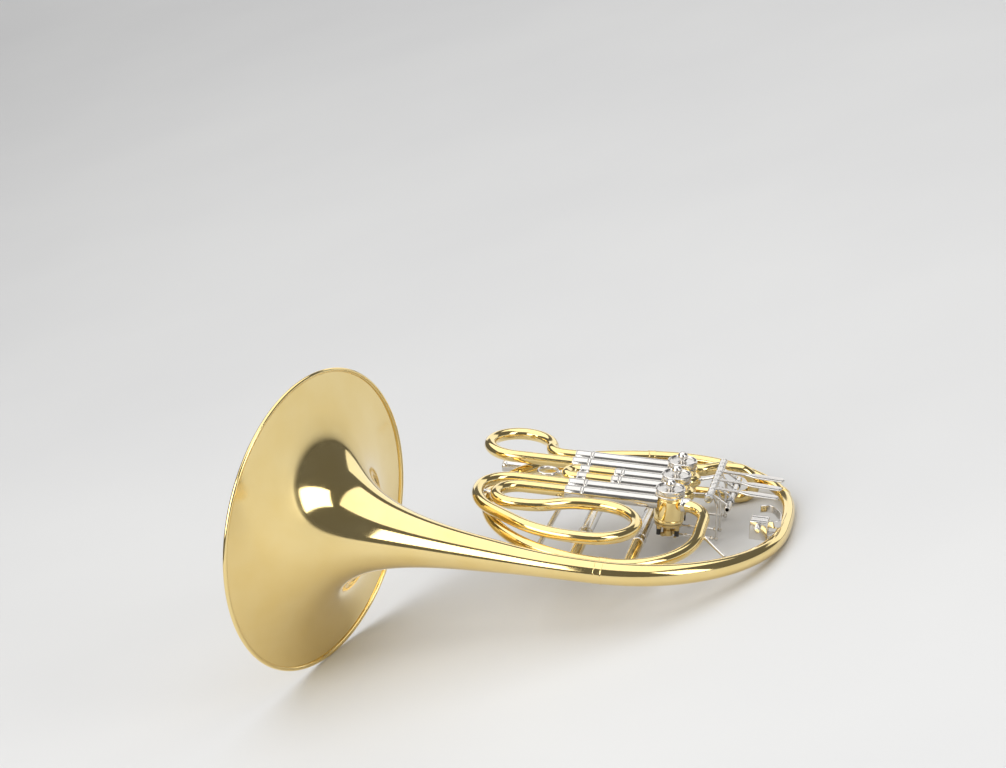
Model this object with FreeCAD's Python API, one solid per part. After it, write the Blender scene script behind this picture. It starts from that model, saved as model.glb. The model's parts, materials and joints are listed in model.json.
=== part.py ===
"""French horn with three rotary valves. Millimetres. Writes one STEP per sub-part to parts/.

Everything is first drawn in the horn's own frame: +X runs along the valve slides towards the
keys, +Y away from the keys' player side, +Z from the linkage up to the valve caps. Z = 0 is the
plane of the body's ring, and valve 2 stands on the origin. The last step lays the horn down
as it rests on a table: on the bell's rim, the ring and the bend of the valve inlet tube.
"""
import FreeCAD, Part
import os
from math import sin, cos, tan, atan2, radians, sqrt

V = FreeCAD.Vector

# ---- tubing ----------------------------------------------------------------------------------
TUBE_R, TUBE_BORE = 6.3, 5.6            # brass tubing of the valve section
SLEEVE_R, SLEEVE_BORE = 6.75, 6.05      # nickel outer tubes that the slides run in
LEG_R, LEG_BORE = 6.0, 5.5              # nickel inner legs of the slides
BEAD_R, BEAD_LENGTH = 7.5, 2.2          # bead at the mouth of each outer tube
FERRULE_R, FERRULE_GAP = 7.0, 0.3       # ferrule between inner leg and crook

# ---- valves ----------------------------------------------------------------------------------
PITCH = 39.4                            # from one valve's axis to the next, along Y
VALVE_Y = {1: PITCH, 2: 0.0, 3: -PITCH}
PORT = 9.85                             # a port's distance from its valve's middle, along Y
PORT_Z = 14.5                           # height of the ports and of the slides
CASING_R, CASING_TOP, CASING_BOTTOM = 15.6, 23.0, -9.0
ROTOR_R, ROTOR_CLEARANCE = 13.9, 0.04
ROTOR_TOP, ROTOR_BOTTOM = 20.6, 6.4
PASSAGE_R = 5.2
STEM_R, STEM_CLEARANCE = 3.5, 0.04
BEARING_TOP = 22.8
CAP_R, CAP_TOP, CAP_WALL = 15.4, 28.0, 1.2
CAP_BALL_R, CAP_BALL_Z = 5.4, 31.6

# ---- slides: valve number -> (mouth of the outer tube, its ferrule's far end), as -X ----------
SLIDES = {1: (97.0, 114.0), 2: (58.0, 66.0), 3: (90.0, 107.0)}
LEG_END = 22.0                          # where the inner legs end, as -X

# ---- linkage ---------------------------------------------------------------------------------
HINGE_X, HINGE_Z = 41.5, 26.0
HINGE_ROD_R, BARREL_BORE, BARREL_R = 1.5, 1.56, 4.0
KEY_Y = {1: 24.3, 2: 0.0, 3: -24.4}
ARM_X, ROD_Z = 49.0, -26.0              # ball joint of a key's drop arm
STOP_ARM_R = 9.0                        # pin's distance from the rotor's axis
PIN_R, EYE_BORE, EYE_R = 1.0, 2.55, 4.0
ARM_BOTTOM, ARM_TOP = ROD_Z + 1.8, ROD_Z + 5.1   # the stop arm's two faces
STEM_END, POST_END = ROD_Z + 4.7, ROD_Z + 8.5    # lower ends of the rotor's stem and the cork posts
LUG_HALF, CORK_R, CORK_REACH = 2.0, 2.4, 9.6
CORK_TURN = 31.0                        # from the stop arm's lug to the cork it strikes
BALL_R = 2.3
ROD_OFFSET = 7.68                       # from the valve's axis to its link rod, along Y
ROD_SIDE = {1: -1, 2: -1, 3: 1}
ROD_R = 1.3
BAR_X, BAR_Z, BAR_R = 60.0, 13.0, 3.2    # bar of the key frame
HOOK_Y, HOOK_Z = -73.0, 14.0            # shank of the finger hook

# ---- body ------------------------------------------------------------------------------------
RING_CENTRE = V(-42.5, -49.3, 0)
RING_START = 140.0                      # ring's radius where the outlet joins
RING_SWELL = 17.5                       # the ring swings this far out, past the inlet tube's bend
WALL = 0.9
BELL_R, BELL_OFFSET, BELL_POWER = 152.5, 29.0, 1.07
BELL_TURN_1, BELL_TURN_2 = 8.8, 20.8   # heading of the bell branch, degrees north of -X
BELL_ARC_1, BELL_ARC_2 = 467.6, 1142.0
BELL_DIP = 8.5                          # how far the bell's mouth hangs below the ring's plane
RIM_WIRE_R = 2.2                        # wire that the bell's edge is rolled over
BRANCH_END_R = 11.4                     # body's radius where the bell branch begins
FLARE_START = 0.62                      # the flare is made apart from here on

# ---- main tuning slide -----------------------------------------------------------------------
TUNING_X = (-82.0, -26.0)
TUNING_Z = -24.0
TUNING_FAR, TUNING_MOUTH = 20.0, -62.0
TUNING_BOW_Y = -134.0
MAIN_Y, MAIN_Z = 72.0, -14.5            # leadpipe's line
INLET_Z = -19.5                         # valve inlet tube's lower run
RECEIVER_BORE, RECEIVER_DEPTH = 4.2, 18.0

# ---- lying on a table, degrees ---------------------------------------------------------------
REST_TIP, REST_ROLL = 18.96, -1.23

PARTS = {}


# ---- helpers ---------------------------------------------------------------------------------
def fillet_points(before, corner, after, radius):
    """Start, middle and end of the arc that rounds a corner."""
    u = (before - corner).normalize()
    v = (after - corner).normalize()
    half = u.getAngle(v) / 2
    reach = radius / tan(half)
    inward = (u + v).normalize()
    centre = corner + inward * (radius / sin(half))
    return corner + u * reach, centre - inward * radius, corner + v * reach


def route(points, radii):
    """A wire of straight runs through the points, with an arc at each inner point."""
    edges, start = [], points[0]
    for i, radius in enumerate(radii, 1):
        first, middle, last = fillet_points(points[i - 1], points[i], points[i + 1], radius)
        if (first - start).Length > 1e-4:
            edges.append(Part.LineSegment(start, first).toShape())
        edges.append(Part.Arc(first, middle, last).toShape())
        start = last
    if (points[-1] - start).Length > 1e-4:
        edges.append(Part.LineSegment(start, points[-1]).toShape())
    return Part.Wire(edges)


def disc(centre, normal, radius):
    return Part.Face(Part.Wire(Part.Circle(centre, normal, radius).toShape()))


def bent_rod(points, radii, radius):
    path = route(points, radii)
    return path.makePipe(disc(points[0], points[1] - points[0], radius))


def bent_tube(points, radii, outer=TUBE_R, bore=TUBE_BORE):
    return bent_rod(points, radii, outer).cut(bent_rod(points, radii, bore))


def rod(start, end, radius):
    return Part.makeCylinder(radius, (end - start).Length, start, end - start)


def tube(start, end, outer, bore):
    return rod(start, end, outer).cut(rod(start, end, bore))


def band(centre, axis, outer, bore, length):
    half = V(axis).normalize() * (length / 2)
    return tube(centre - half, centre + half, outer, bore)


def turned(profile, base, axis):
    """A solid of revolution. The profile's points are (radius, distance along the axis)."""
    face = Part.Face(Part.makePolygon([V(r, 0, z) for r, z in profile + profile[:1]]))
    solid = face.revolve(V(0, 0, 0), V(0, 0, 1), 360)
    solid.Placement = FreeCAD.Placement(base, FreeCAD.Rotation(V(0, 0, 1), axis))
    return solid


def loft(stations, inset=0.0):
    """A solid through circles. A station is (centre, direction, radius)."""
    rings = [Part.Wire(Part.Circle(c, d, r - inset).toShape()) for c, d, r in stations]
    return Part.makeLoft(rings, True, False)


def hollow(stations):
    return loft(stations).cut(loft(stations, WALL))


def fuse(shapes):
    return shapes[0].multiFuse(shapes[1:]).removeSplitter() if len(shapes) > 1 else shapes[0]


def keep(name, *shapes):
    """Each shape stays a solid of its own in the node."""
    PARTS[name] = Part.makeCompound([s for shape in shapes for s in shape.Solids])


def add(name, *shapes):
    """Adds more solids to a node that the valves share."""
    keep(name, *([PARTS[name]] if name in PARTS else []), *shapes)


def smooth(t):
    t = min(max(t, 0.0), 1.0)
    return t * t * (3 - 2 * t)


# ---- the body's line -------------------------------------------------------------------------
def ring_radius(turn):
    """turn runs from 0 where the outlet tube joins to 1 where the bell branch begins."""
    swing = smooth((turn - 0.46) / 0.14) * (1 - smooth((turn - 0.627) / 0.124))
    growth = 3 * smooth(turn / 0.3) + 19 * smooth((turn - 0.28) / 0.42)
    return RING_START + growth + RING_SWELL * swing


def ring_point(turn):
    angle = radians(-90 - 360 * turn)
    radius = ring_radius(turn)
    return RING_CENTRE + V(radius * cos(angle), radius * sin(angle), 0)


def ring_station(turn):
    step = 1e-4
    direction = (ring_point(turn + step) - ring_point(turn - step)).normalize()
    size = TUBE_R + 0.4 * turn + (BRANCH_END_R - TUBE_R - 0.4) * smooth((turn - 0.68) / 0.34)
    return ring_point(turn), direction, size


def bell_length():
    first = BELL_ARC_1 * radians(BELL_TURN_1)
    return first, first + BELL_ARC_2 * radians(BELL_TURN_2 - BELL_TURN_1)


def bell_point(s):
    """Point and heading at a distance s along the bell branch."""
    first, _ = bell_length()
    start = ring_point(1.0)
    heading = radians(180) - min(s, first) / BELL_ARC_1
    x = start.x - BELL_ARC_1 * sin(min(s, first) / BELL_ARC_1)
    y = start.y + BELL_ARC_1 * (1 - cos(min(s, first) / BELL_ARC_1))
    if s > first:
        turn_1 = radians(BELL_TURN_1)
        turn = turn_1 + (s - first) / BELL_ARC_2
        x -= BELL_ARC_2 * (sin(turn) - sin(turn_1))
        y += BELL_ARC_2 * (cos(turn_1) - cos(turn))
        heading = radians(180) - turn
    dip, slope = bell_dip(s)
    return V(x, y, -dip), V(cos(heading), sin(heading), -slope).normalize()


def bell_dip(s):
    """The bell's axis sinks along a parabola to the mouth."""
    length = bell_length()[1]
    return BELL_DIP * (s / length) ** 2, 2 * BELL_DIP * s / length ** 2


def bell_radius(s):
    left = bell_length()[1] - s
    horn = BELL_R * (BELL_OFFSET / (BELL_OFFSET + left)) ** BELL_POWER
    blend = smooth(s / 120.0)
    straight = BRANCH_END_R + 0.012 * s
    return straight * (1 - blend) + horn * blend


def bell_station(s):
    point, direction = bell_point(s)
    return point, direction, bell_radius(s)


def make_body():
    turns = [i / 36 for i in range(37)]
    keep("body_ring", hollow([ring_station(t) for t in turns]))
    length = bell_length()[1]
    joint = length * FLARE_START
    branch = [bell_station(joint * i / 14) for i in range(15)]
    keep("bell_branch", hollow(branch))
    flare = [bell_station(length - (length - joint) * (1 - i / 22) ** 2.2) for i in range(23)]
    keep("bell_flare", hollow(flare))
    mouth, out = bell_point(length)
    keep("bell_rim_wire", Part.makeTorus(BELL_R + RIM_WIRE_R + 0.02, RIM_WIRE_R, mouth, out))
    bands = []
    for turn in (0.0, 0.5, 0.66):
        point, direction, size = ring_station(turn)
        bands.append(band(point, direction, size + 0.6, size + 0.02, 8))
    point, direction = bell_point(0)
    bands.append(band(point, direction, BRANCH_END_R + 0.7, BRANCH_END_R + 0.1, 9))
    keep("body_ferrules", *bands)


def make_outlet():
    y = -PITCH - PORT
    end = ring_point(0)
    points = [V(9, y, PORT_Z), V(40.5, y, PORT_Z), V(40.5, end.y, 0), end]
    pipe = bent_tube(points, [29, 80])
    keep("outlet_tube", pipe.cut(valve_drum(3)))


def valve_drum(number):
    """The room that a valve's casing takes."""
    return Part.makeCylinder(CASING_R, 60, V(0, VALVE_Y[number], -20))


# ---- leadpipe and main tuning slide ----------------------------------------------------------
def make_leadpipe():
    """A tapered pipe from the receiver, and the bend that takes it to the tuning slide."""
    x = TUNING_X[0]
    start, end = V(-177.9, MAIN_Y, MAIN_Z), V(-112, MAIN_Y, MAIN_Z)
    along = end - start
    ends = [(start, along, 5.2), (end, along, TUBE_R)]
    keep("leadpipe", loft(ends).cut(loft(ends, 0.7)))
    bend = [end, V(x, MAIN_Y, MAIN_Z), V(x, TUNING_FAR + 14, TUNING_Z), V(x, TUNING_FAR, TUNING_Z)]
    keep("leadpipe_bend", bent_tube(bend, [24, 30]))
    mouth = V(-196, MAIN_Y, MAIN_Z)
    receiver = turned([(RECEIVER_BORE, 0), (6.4, 0), (7.0, 1.5), (7.0, 4), (6.4, 5.5), (6.2, 30),
                       (5.6, 36), (5.6, 30), (5.22, 30), (5.22, RECEIVER_DEPTH),
                       (RECEIVER_BORE, RECEIVER_DEPTH)], mouth, along)
    keep("mouthpiece_receiver", receiver.cut(loft(ends)))


def make_inlet():
    """From the tuning slide along the far side, round under the keys and back into valve 1."""
    x, port_y, upper_y, turn_x = TUNING_X[1], PITCH + PORT, 64.0, 55.0
    bow = V(0, upper_y - MAIN_Y, PORT_Z - INLET_Z).Length / 2
    points = [V(x, TUNING_FAR, TUNING_Z), V(x, TUNING_FAR + 14, TUNING_Z), V(x, MAIN_Y, INLET_Z),
              V(turn_x + bow, MAIN_Y, INLET_Z), V(turn_x + bow, upper_y, PORT_Z),
              V(37, upper_y, PORT_Z), V(20, port_y, PORT_Z), V(9, port_y, PORT_Z)]
    pipe = bent_tube(points, [30, 24, bow * 0.995, bow * 0.995, 14, 14])
    keep("valve_inlet_tube", pipe.cut(valve_drum(1)))


def make_tuning_slide():
    sleeves, legs = [], []
    for x in TUNING_X:
        sleeve = tube(V(x, TUNING_FAR, TUNING_Z), V(x, TUNING_MOUTH, TUNING_Z), SLEEVE_R, SLEEVE_BORE)
        bead = band(V(x, TUNING_MOUTH + 1.1, TUNING_Z), V(0, 1, 0), BEAD_R, SLEEVE_BORE, BEAD_LENGTH)
        collar = band(V(x, TUNING_FAR - 8, TUNING_Z), V(0, 1, 0), BEAD_R, SLEEVE_BORE, 3)
        sleeves.append(fuse([sleeve, bead, collar]))
        ferrule_y = TUNING_MOUTH - FERRULE_GAP
        leg = tube(V(x, ferrule_y, TUNING_Z), V(x, TUNING_FAR - 12, TUNING_Z), LEG_R, LEG_BORE)
        ferrule = tube(V(x, ferrule_y, TUNING_Z), V(x, ferrule_y - 12, TUNING_Z), FERRULE_R, LEG_BORE)
        legs.append(fuse([leg, ferrule]))
    keep("tuning_outer_tubes", *sleeves)
    keep("tuning_slide_legs", *legs)
    left, right = TUNING_X
    near = TUNING_BOW_Y - (right - left) / 2
    start = TUNING_MOUTH - FERRULE_GAP - 12
    bow = [V(left, start, TUNING_Z), V(left, near, TUNING_Z), V(right, near, TUNING_Z),
           V(right, start, TUNING_Z)]
    keep("tuning_slide_bow", bent_tube(bow, [27.9, 27.9]))


# ---- valve slides ----------------------------------------------------------------------------
def leg_ys(number):
    return VALVE_Y[number] + PORT, VALVE_Y[number] - PORT


def make_slide_tubes(number):
    mouth, ferrule_end = SLIDES[number]
    sleeves, legs = [], []
    for y in leg_ys(number):
        sleeve = tube(V(-9, y, PORT_Z), V(-mouth, y, PORT_Z), SLEEVE_R, SLEEVE_BORE)
        bead = band(V(-mouth + 1.1, y, PORT_Z), V(1, 0, 0), BEAD_R, SLEEVE_BORE, BEAD_LENGTH)
        sleeves.append(fuse([sleeve, bead]).cut(valve_drum(number)))
        start = mouth + FERRULE_GAP
        leg = tube(V(-start, y, PORT_Z), V(-LEG_END, y, PORT_Z), LEG_R, LEG_BORE)
        ferrule = tube(V(-start, y, PORT_Z), V(-ferrule_end, y, PORT_Z), FERRULE_R, LEG_BORE)
        legs.append(fuse([leg, ferrule]))
    keep(f"slide_{number}_outer_tubes", *sleeves)
    keep(f"slide_{number}_legs", *legs)


def flat(points):
    return [V(x, y, PORT_Z) for x, y in points]


def make_crook_1():
    """A keyhole: from the near leg round a loop and back into the far leg."""
    far_y, near_y = leg_ys(1)
    start = -SLIDES[1][1]
    loop_r, entry_r = 33.0, 16.0
    centre_x, centre_y = -175.0, near_y + loop_r
    entry_y = far_y + entry_r
    entry_x = centre_x + sqrt((loop_r + entry_r) ** 2 - (centre_y - entry_y) ** 2)
    touch = V(centre_x, centre_y, PORT_Z) + (V(entry_x - centre_x, entry_y - centre_y, 0)
                                             * (loop_r / (loop_r + entry_r)))
    across = atan2(touch.y - centre_y, touch.x - centre_x)
    middle = (across + radians(270)) / 2
    loop = Part.Arc(V(centre_x, near_y, PORT_Z),
                    V(centre_x + loop_r * cos(middle), centre_y + loop_r * sin(middle), PORT_Z),
                    touch)
    way = (across - radians(180) + radians(-90)) / 2
    entry = Part.Arc(touch, V(entry_x + entry_r * cos(way), entry_y + entry_r * sin(way), PORT_Z),
                     V(entry_x, far_y, PORT_Z))
    path = Part.Wire([
        Part.LineSegment(V(start, near_y, PORT_Z), V(centre_x, near_y, PORT_Z)).toShape(),
        loop.toShape(), entry.toShape(),
        Part.LineSegment(V(entry_x, far_y, PORT_Z), V(start, far_y, PORT_Z)).toShape()])
    ends = [disc(V(start, near_y, PORT_Z), V(1, 0, 0), r) for r in (TUBE_R, TUBE_BORE)]
    keep("slide_1_crook", path.makePipe(ends[0]).cut(path.makePipe(ends[1])))


def make_crook_2():
    far_y, near_y = leg_ys(2)
    straight_end, ferrule_end = 92.0, 102.0
    tubes = [tube(V(-SLIDES[2][1], y, PORT_Z), V(-straight_end, y, PORT_Z), TUBE_R, TUBE_BORE)
             for y in leg_ys(2)]
    apex = -ferrule_end - 2.0 - PORT
    bow = flat([(-ferrule_end, far_y), (apex, far_y), (apex, near_y), (-ferrule_end, near_y)])
    keep("slide_2_crook", *tubes, bent_tube(bow, [PORT * 0.995] * 2))
    keep("slide_2_ferrules", *[tube(V(-straight_end, y, PORT_Z), V(-ferrule_end, y, PORT_Z),
                                    FERRULE_R, TUBE_BORE) for y in leg_ys(2)])
    ring_r, wire_r = 10.3, 1.5
    ring = Part.makeTorus(ring_r, wire_r, V(apex - TUBE_R - 4 - ring_r, 0, PORT_Z))
    stem = rod(V(apex - TUBE_R + 0.6, 0, PORT_Z), V(apex - TUBE_R - 4.5, 0, PORT_Z), 2.2)
    keep("slide_2_pull_ring", fuse([ring, stem.cut(bent_rod(bow, [PORT * 0.995] * 2, TUBE_R))]))


def crook_3_route():
    far_y, near_y = leg_ys(3)
    start = -SLIDES[3][1]
    inner_left, outer_left, inner_bow = -174.0, -193.5, 24.0
    back_y, upper_y, right_r = near_y - 2 * inner_bow, -76.0, 43.9
    lower_y, right_x = upper_y - 2 * 44.0, -22.0
    points = flat([(start, near_y), (inner_left, near_y), (inner_left, back_y), (-128, back_y),
                   (-92, upper_y), (right_x, upper_y), (right_x, lower_y), (-112, lower_y),
                   (outer_left, -100), (outer_left, far_y), (start, far_y)])
    return points, [inner_bow * 0.995, inner_bow * 0.995, 55, 55, right_r, right_r, 100, 70, 33.5]


def make_crook_3():
    points, radii = crook_3_route()
    keep("slide_3_crook", bent_tube(points, radii))
    gap = V(-193.5 + TUBE_R, -74, PORT_Z), V(-174 - TUBE_R, -74, PORT_Z)
    stub = rod(gap[0] - V(1, 0, 0), gap[1] + V(1, 0, 0), 1.8)
    keep("slide_3_brace", stub.cut(bent_rod(points, radii, TUBE_R)))


# ---- valves ----------------------------------------------------------------------------------
def make_valve(number):
    y = VALVE_Y[number]
    middle = V(0, y, 0)
    bore_r = ROTOR_R + ROTOR_CLEARANCE
    stem_hole = STEM_R + STEM_CLEARANCE
    casing = turned([(stem_hole, 2), (bore_r, 2), (bore_r, CASING_TOP), (CASING_R - 0.7, CASING_TOP),
                     (CASING_R - 0.7, CASING_TOP - 4), (CASING_R, CASING_TOP - 5), (CASING_R, -7),
                     (CASING_R - 1.5, CASING_BOTTOM), (12.5, CASING_BOTTOM), (12.5, -3),
                     (stem_hole, -3)], middle, V(0, 0, 1))
    for side in (-1, 1):
        for port in (-PORT, PORT):
            ends = V(side * 7, y + port, PORT_Z), V(side * 17, y + port, PORT_Z)
            casing = casing.cut(rod(ends[0], ends[1], PASSAGE_R))
    keep(f"valve_{number}_casing", casing)

    rotor = Part.makeCylinder(ROTOR_R, ROTOR_TOP - ROTOR_BOTTOM, middle + V(0, 0, ROTOR_BOTTOM))
    reach = ROTOR_R * sqrt(2)
    for side in (-1, 1):
        passage = Part.makeTorus(ROTOR_R, PASSAGE_R, V(side * reach, y, PORT_Z))
        rotor = rotor.cut(passage)
    stem = turned([(0, STEM_END), (STEM_R, STEM_END), (STEM_R, 4.0), (6, 5.0), (6, ROTOR_BOTTOM),
                   (0, ROTOR_BOTTOM)], middle, V(0, 0, 1))
    top = Part.makeCylinder(3.0, BEARING_TOP - ROTOR_TOP, middle + V(0, 0, ROTOR_TOP))
    keep(f"rotor_{number}", fuse([rotor, stem, top]))

    add("bearing_plates", turned([(3.04, ROTOR_TOP + 0.1), (bore_r, ROTOR_TOP + 0.1),
                                  (bore_r, BEARING_TOP), (3.04, BEARING_TOP)],
                                 middle, V(0, 0, 1)))
    rim = CAP_R - CAP_WALL
    cap = turned([
        (0, BEARING_TOP + 1.2), (rim, BEARING_TOP + 1.2), (rim, CASING_TOP),
        (CASING_R - 0.7, CASING_TOP), (CASING_R - 0.7, CASING_TOP - 3.8), (CAP_R, CASING_TOP - 3.8),
        (CAP_R, CAP_TOP - 0.8), (CAP_R - 0.8, CAP_TOP), (rim - 0.4, CAP_TOP), (rim - 1.2, CAP_TOP - 1.4),
        (3.4, CAP_TOP - 1.8), (2.6, CAP_BALL_Z - 3.6), (0, CAP_BALL_Z - 3.6)], middle, V(0, 0, 1))
    keep(f"valve_cap_{number}", cap.fuse(Part.makeSphere(CAP_BALL_R, middle + V(0, 0, CAP_BALL_Z))))
    make_stop_work(number)


def pin_x():
    """The stop arm's pin stands this far along X when its key is up, and as far back when down."""
    return STOP_ARM_R * sin(radians(45))


def make_stop_work(number):
    """The stop arm on the rotor's stem, and the plate with two corks that it strikes."""
    y, side = VALVE_Y[number], ROD_SIDE[number]
    hub = tube(V(0, y, POST_END - 1), V(0, y, ARM_BOTTOM), 5.2, STEM_R - 0.01)
    pin = V(pin_x(), y + side * pin_x(), 0)
    towards_pin = side * 45
    arm = rod(pin + V(0, 0, ARM_BOTTOM), pin + V(0, 0, ARM_TOP), 2.9)
    web = Part.makeBox(STOP_ARM_R, 5.0, ARM_TOP - ARM_BOTTOM, V(0, -2.5, ARM_BOTTOM))
    web.rotate(V(0, 0, 0), V(0, 0, 1), towards_pin)
    web.translate(V(0, y, 0))
    post = rod(pin + V(0, 0, ARM_BOTTOM), pin + V(0, 0, ROD_Z - 2.3), PIN_R)
    head = rod(pin + V(0, 0, ROD_Z - 2.2), pin + V(0, 0, ROD_Z - 3.1), 1.7)
    stem_room = rod(V(0, y, STEM_END - 0.1), V(0, y, POST_END), STEM_R)
    lug = Part.makeBox(8.2, 2 * LUG_HALF, ARM_TOP - ARM_BOTTOM, V(0, -LUG_HALF, ARM_BOTTOM))
    lug.rotate(V(0, 0, 0), V(0, 0, 1), towards_pin + 180)
    lug.translate(V(0, y, 0))
    keep(f"stop_arm_{number}", fuse([hub, arm, web, post, head, lug]).cut(stem_room))

    plate = turned([(4.2, -11.5), (14.4, -11.5), (14.4, CASING_BOTTOM), (4.2, CASING_BOTTOM)],
                   V(0, y, 0), V(0, 0, 1))
    posts, corks = [], []
    for turn in (-CORK_TURN, 90 + CORK_TURN):
        way = radians(towards_pin + 180 + side * turn)
        spot = V(CORK_REACH * cos(way), y + CORK_REACH * sin(way), 0)
        posts.append(rod(spot + V(0, 0, POST_END), spot + V(0, 0, -11.0), 2.6))
        corks.append(rod(spot + V(0, 0, ARM_BOTTOM + 0.3), spot + V(0, 0, POST_END), CORK_R))
    keep(f"stop_plate_{number}", fuse([plate] + posts))
    add("stop_corks", *corks)


def make_knuckles():
    bends = []
    for upper, lower in ((1, 2), (2, 3)):
        y_1, y_2 = VALVE_Y[upper] - PORT, VALVE_Y[lower] + PORT
        apex = 7.0 + PORT
        bend = bent_tube(flat([(5, y_1), (apex, y_1), (apex, y_2), (5, y_2)]), [PORT * 0.995] * 2)
        bends.append(bend.cut(valve_drum(upper)).cut(valve_drum(lower)))
    keep("knuckle_tubes", *bends)


# ---- keys ------------------------------------------------------------------------------------
def hinge(y):
    return V(HINGE_X, y, HINGE_Z)


def rod_y(number):
    return VALVE_Y[number] + ROD_SIDE[number] * ROD_OFFSET


def make_key(number):
    """Finger plate, barrel and drop arm in one piece."""
    y, arm_y = KEY_Y[number], rod_y(number)
    sleeve = tube(hinge(y - 7), hinge(y + 7), BARREL_R, BARREL_BORE)
    outline = [(3.0, 2.1), (28, 2.3), (36, 5.6), (61, 5.9), (66.5, 3.5)]
    upper = [V(HINGE_X + x, y + half, 0) for x, half in outline]
    lower = [V(HINGE_X + x, y - half, 0) for x, half in reversed(outline)]
    tip = Part.Arc(upper[-1], V(HINGE_X + 67.8, y, 0), lower[0]).toShape()
    side_1 = Part.makePolygon(upper).Edges
    side_2 = Part.makePolygon(lower).Edges
    close = Part.LineSegment(lower[-1], upper[0]).toShape()
    plate = Part.Face(Part.Wire(side_1 + [tip] + side_2 + [close])).extrude(V(0, 0, 2.0))
    plate.translate(V(0, 0, HINGE_Z - 0.6))
    plate.rotate(hinge(y), V(0, 1, 0), 2.5)
    plate = plate.cut(rod(hinge(y - 9), hinge(y + 9), BARREL_BORE))
    shoulder = V(HINGE_X + 6.5, arm_y, 10)
    foot = V(ARM_X, arm_y, ROD_Z)
    root = V(HINGE_X, y + max(-5.0, min(5.0, arm_y - y)), HINGE_Z - BARREL_R + 0.5)
    drop = bent_rod([root, shoulder, foot], [14], 1.8)
    ball = Part.makeSphere(BALL_R, foot)
    keep(f"key_{number}", fuse([sleeve, plate, drop]).fuse(ball))


def make_link_rod(number):
    """Runs from a cup on the drop arm's ball to an eye round the stop arm's pin."""
    y = rod_y(number)
    eye = band(V(pin_x(), y, ROD_Z), V(0, 0, 1), EYE_R, EYE_BORE, 2.4)
    bar = rod(V(pin_x() + EYE_R - 0.6, y, ROD_Z), V(ARM_X - 4.0, y, ROD_Z), ROD_R)
    cup = rod(V(ARM_X - 4.2, y, ROD_Z), V(ARM_X - 2.8, y, ROD_Z), 2.4)
    keep(f"link_rod_{number}", fuse([eye, bar, cup]))


def make_key_frame():
    middles = (36.45, 12.15, -12.2, -36.6)
    posts = []
    for y in middles:
        barrel = tube(hinge(y - 4.8), hinge(y + 4.8), BARREL_R, BARREL_BORE)
        web = rod(hinge(y) + V(2.5, 0, -2.5), V(BAR_X - 1.5, y, BAR_Z + 1.5), 1.5)
        posts += [barrel, web.cut(rod(hinge(y - 6), hinge(y + 6), BARREL_BORE))]
    bar = tube(V(BAR_X, -46, BAR_Z), V(BAR_X, 41, BAR_Z), BAR_R, 2.0)
    keep("key_frame", fuse(posts + [bar]))
    keep("hinge_collars", tube(hinge(41.4), hinge(52), BARREL_R, BARREL_BORE),
         tube(hinge(-48.5), hinge(-41.6), BARREL_R, BARREL_BORE))
    screw = fuse([rod(hinge(-49), hinge(53), HINGE_ROD_R), rod(hinge(-49), hinge(-56), 4.6)])
    keep("hinge_rod", screw)
    braces = [rod(V(21.5, PITCH / 2 - 7, PORT_Z + 3.5), hinge(12.15) + V(-3, 0, -2), 1.5),
              rod(V(21.5, -PITCH / 2 - 7, PORT_Z + 3.5), hinge(-36.6) + V(-3, 0, -2), 1.5)]
    knuckle = bent_rod(flat([(5, PITCH - PORT), (7 + PORT, PITCH - PORT), (7 + PORT, PORT),
                             (5, PORT)]), [PORT * 0.995] * 2, TUBE_R)
    lower = knuckle.copy()
    lower.translate(V(0, -PITCH, 0))
    keep("key_braces", *[b.cut(rod(hinge(y - 6), hinge(y + 6), BARREL_R)).cut(k)
                         for b, y, k in zip(braces, (12.15, -36.6), (knuckle, lower))])


def make_key_springs():
    """A coil on the frame's bar under each key, with one leg up to the hinge."""
    springs = []
    for y in KEY_Y.values():
        turns = [Part.makeTorus(3.9, 0.55, V(BAR_X, y + 1.05 * i, BAR_Z), V(0, 1, 0)) for i in range(-2, 3)]
        spine = rod(V(BAR_X - 3.9, y - 2.4, BAR_Z), V(BAR_X - 3.9, y + 2.4, BAR_Z), 0.5)
        leg = rod(V(BAR_X - 3.4, y - 2.1, BAR_Z + 2.0), V(HINGE_X + 6.0, y - 2.1, HINGE_Z - 6.5), 0.5)
        springs.append(fuse(turns + [spine, leg]))
    keep("key_springs", *springs)


# ---- stays and finger hook -------------------------------------------------------------------
def make_stays():
    """Stays that tie the tubes of the body together, each cut off at the tubes it joins."""
    keep("body_stays", rod(V(47.6, -107.5, 5), V(74.5, -142.5, 0.6), 1.9),
         rod(V(-117, 64, -20), V(-117, -172, -11), 3.0))


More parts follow.
